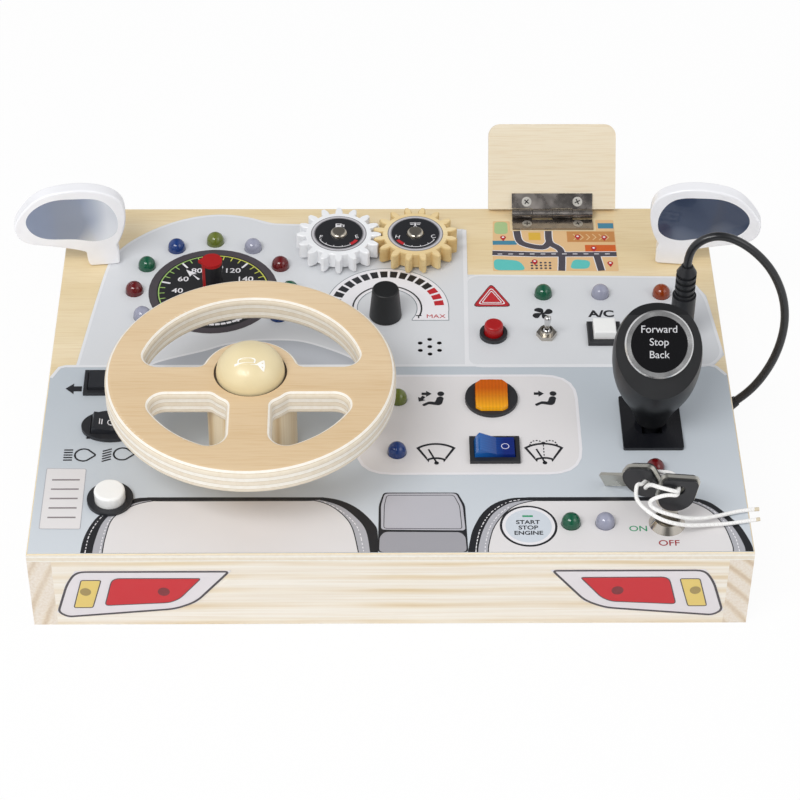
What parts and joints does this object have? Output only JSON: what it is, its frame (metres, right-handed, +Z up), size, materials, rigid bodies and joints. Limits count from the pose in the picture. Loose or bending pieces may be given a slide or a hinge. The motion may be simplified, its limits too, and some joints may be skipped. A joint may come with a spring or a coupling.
{
  "type": "wooden busy board",
  "caption": "Wooden busy board shaped like a car dashboard, with a steering wheel, gears, switches, a gear lever, lamps, mirrors, a hinged door and a key lock.",
  "frame": {"origin": "centre of the case's underside", "axes": "+X to the driver's right, +Y towards the back edge with the map door, +Z up out of the dashboard"},
  "size_m": [0.3481, 0.2508, 0.1013],
  "materials": {
    "plywood": "clear matt lacquer",
    "pine": "clear matt lacquer",
    "hardboard": "plain",
    "wheel_birch": "sanded and waxed",
    "natural_wood": "sanded and waxed",
    "white_painted_wood": "white gloss paint",
    "printed_film": "printed satin vinyl",
    "light_film": "printed satin vinyl",
    "screw_steel": "zinc plated",
    "hinge_steel": "nickel plated",
    "rivet_steel": "satin",
    "spring_steel": "satin",
    "chrome": "polished",
    "cream_lacquer": "gloss lacquer",
    "black_gloss": "gloss",
    "black_matte": "satin",
    "red_gloss": "gloss",
    "white_gloss": "gloss",
    "blue_gloss": "gloss, lightly translucent",
    "amber_gloss": "gloss, lightly translucent",
    "led_lens": "clear and tinted lenses",
    "mirror_pane": "polished acrylic",
    "black_cord": "smooth black PVC jacket",
    "braid_cord": "braided polyester",
    "circuit_green": "solder mask",
    "cell_wrap": "shrink wrap"
  },
  "bodies": {
    "case": {"top_panel": "plywood", "front_rail": "pine", "back_rail": "pine", "side_rails": "pine", "base_cover": "hardboard", "base_screws": "screw_steel", "dashboard_film": "printed_film", "light_films": "light_film", "light_leds": "led_lens", "indicator_leds": "led_lens", "steering_column": "black_matte", "horn_housing": "black_gloss", "horn_spring": "spring_steel", "hinge_fixed_leaf": "hinge_steel", "hinge_fixed_screws": "screw_steel", "hinge_pin": "hinge_steel", "gear_axles": "rivet_steel", "knob_pots": "rivet_steel", "toggle_switch": "chrome", "button_frames": "black_matte", "rocker_frames": "black_matte", "lever_plate": "black_gloss", "charge_socket": "black_matte", "cord_gland": "black_matte", "charge_cord": "black_cord", "lock_body": "chrome", "spare_key": "black_gloss", "key_cord": "braid_cord", "battery_box": "black_matte", "batteries": "cell_wrap", "circuit_board": "circuit_green", "speaker": "black_matte"},
    "wheel": {"steering_wheel": "wheel_birch"},
    "horn": {"horn_button": "cream_lacquer"},
    "white_gear": {"white_gear": "white_painted_wood"},
    "natural_gear": {"natural_gear": "natural_wood"},
    "door": {"map_door": "natural_wood", "hinge_moving_leaf": "hinge_steel", "hinge_moving_screws": "screw_steel"},
    "speed_knob": {"speed_knob": "black_gloss", "speed_pointer": "red_gloss"},
    "volume_knob": {"volume_knob": "black_matte"},
    "toggle_bat": {"toggle_lever": "chrome"},
    "red_button": {"red_cap": "red_gloss"},
    "white_button": {"white_cap": "white_gloss"},
    "square_button": {"square_cap": "white_gloss"},
    "blue_rocker": {"blue_cap": "blue_gloss"},
    "amber_rocker": {"amber_cap": "amber_gloss"},
    "indicator_rocker": {"indicator_cap": "black_gloss"},
    "lamp_rocker": {"lamp_cap": "black_gloss"},
    "gear_lever": {"lever_shaft": "chrome", "lever_knob": "black_gloss", "lever_ring": "chrome"},
    "plug": {"charge_plug": "black_matte"},
    "key": {"lock_barrel": "chrome", "ignition_key": "black_gloss"},
    "left_wing_mirror": {"left_mirror": "white_painted_wood", "left_mirror_glass": "mirror_pane"},
    "right_wing_mirror": {"right_mirror": "white_painted_wood", "right_mirror_glass": "mirror_pane"}
  },
  "joints": [
    {"name": "wheel_spin", "type": "hinge", "parent": "case", "child": "wheel", "pos_m": [-0.0585, -0.0484, 0.078], "axis": [0, 0, 1], "continuous": true},
    {"name": "horn_press", "type": "slide", "parent": "case", "child": "horn", "axis": [0, 0, -1], "range_m": [0, 0.003], "stiffness_N_per_m": 300, "springref_m": -0.002, "deforming": ["horn_spring"]},
    {"name": "white_gear_spin", "type": "hinge", "parent": "case", "child": "white_gear", "pos_m": [-0.0228, 0.0834, 0.0475], "axis": [0, 0, 1], "continuous": true},
    {"name": "natural_gear_spin", "type": "hinge", "parent": "case", "child": "natural_gear", "pos_m": [0.0127, 0.0834, 0.0475], "axis": [0, 0, 1], "continuous": true},
    {"name": "door_hinge", "type": "hinge", "parent": "case", "child": "door", "pos_m": [0.0777, 0.107, 0.0443], "axis": [1, 0, 0], "range_deg": [0, 126]},
    {"name": "speed_knob_turn", "type": "hinge", "parent": "case", "child": "speed_knob", "pos_m": [-0.08, 0.0533, 0.05], "axis": [0, 0, 1], "range_deg": [-140, 140]},
    {"name": "volume_knob_turn", "type": "hinge", "parent": "case", "child": "volume_knob", "pos_m": [-0.0014, 0.036, 0.05], "axis": [0, 0, 1], "range_deg": [-140, 140]},
    {"name": "toggle_flip", "type": "hinge", "parent": "case", "child": "toggle_bat", "pos_m": [0.0708, 0.0221, 0.0444], "axis": [1, 0, 0], "range_deg": [-24, 0]},
    {"name": "red_press", "type": "slide", "parent": "case", "child": "red_button", "axis": [0, 0, -1], "range_m": [0, 0.0025], "stiffness_N_per_m": 200, "springref_m": -0.001},
    {"name": "white_press", "type": "slide", "parent": "case", "child": "white_button", "axis": [0, 0, -1], "range_m": [0, 0.0025], "stiffness_N_per_m": 200, "springref_m": -0.001},
    {"name": "square_press", "type": "slide", "parent": "case", "child": "square_button", "axis": [0, 0, -1], "range_m": [0, 0.0025], "stiffness_N_per_m": 200, "springref_m": -0.001},
    {"name": "blue_rock", "type": "hinge", "parent": "case", "child": "blue_rocker", "pos_m": [0.0448, -0.0533, 0.0425], "axis": [0, 1, 0], "range_deg": [-22, 0]},
    {"name": "amber_rock", "type": "hinge", "parent": "case", "child": "amber_rocker", "pos_m": [0.0445, -0.0207, 0.0425], "axis": [1, 0, 0], "range_deg": [-22, 0]},
    {"name": "indicator_rock", "type": "hinge", "parent": "case", "child": "indicator_rocker", "pos_m": [-0.1235, -0.01, 0.0425], "axis": [0, 1, 0], "range_deg": [0, 22]},
    {"name": "lamp_rock", "type": "hinge", "parent": "case", "child": "lamp_rocker", "pos_m": [-0.12, -0.038, 0.0425], "axis": [0, 1, 0], "range_deg": [-10, 10]},
    {"name": "lever_tilt", "type": "hinge", "parent": "case", "child": "gear_lever", "pos_m": [0.113, -0.0365, 0.036], "axis": [1, 0, 0], "range_deg": [-12, 12]},
    {"name": "plug_pull", "type": "slide", "parent": "case", "child": "plug", "axis": [0, 0, 1], "range_m": [0, 0.012], "deforming": ["charge_cord"]},
    {"name": "lock_turn", "type": "hinge", "parent": "case", "child": "key", "pos_m": [0.115, -0.097, 0.045], "axis": [0, 0, 1], "range_deg": [-76, 0], "deforming": ["key_cord"]},
    {"name": "left_mirror_swivel", "type": "hinge", "parent": "case", "child": "left_wing_mirror", "pos_m": [-0.1302, 0.07525, 0.0445], "axis": [0, 0, 1], "range_deg": [-35, 35]},
    {"name": "right_mirror_swivel", "type": "hinge", "parent": "case", "child": "right_wing_mirror", "pos_m": [0.1302, 0.07525, 0.0445], "axis": [0, 0, 1], "range_deg": [-35, 35]}
  ],
  "couplings": [
    {"joint": "natural_gear_spin", "follows": "white_gear_spin", "ratio": -1}
  ]
}
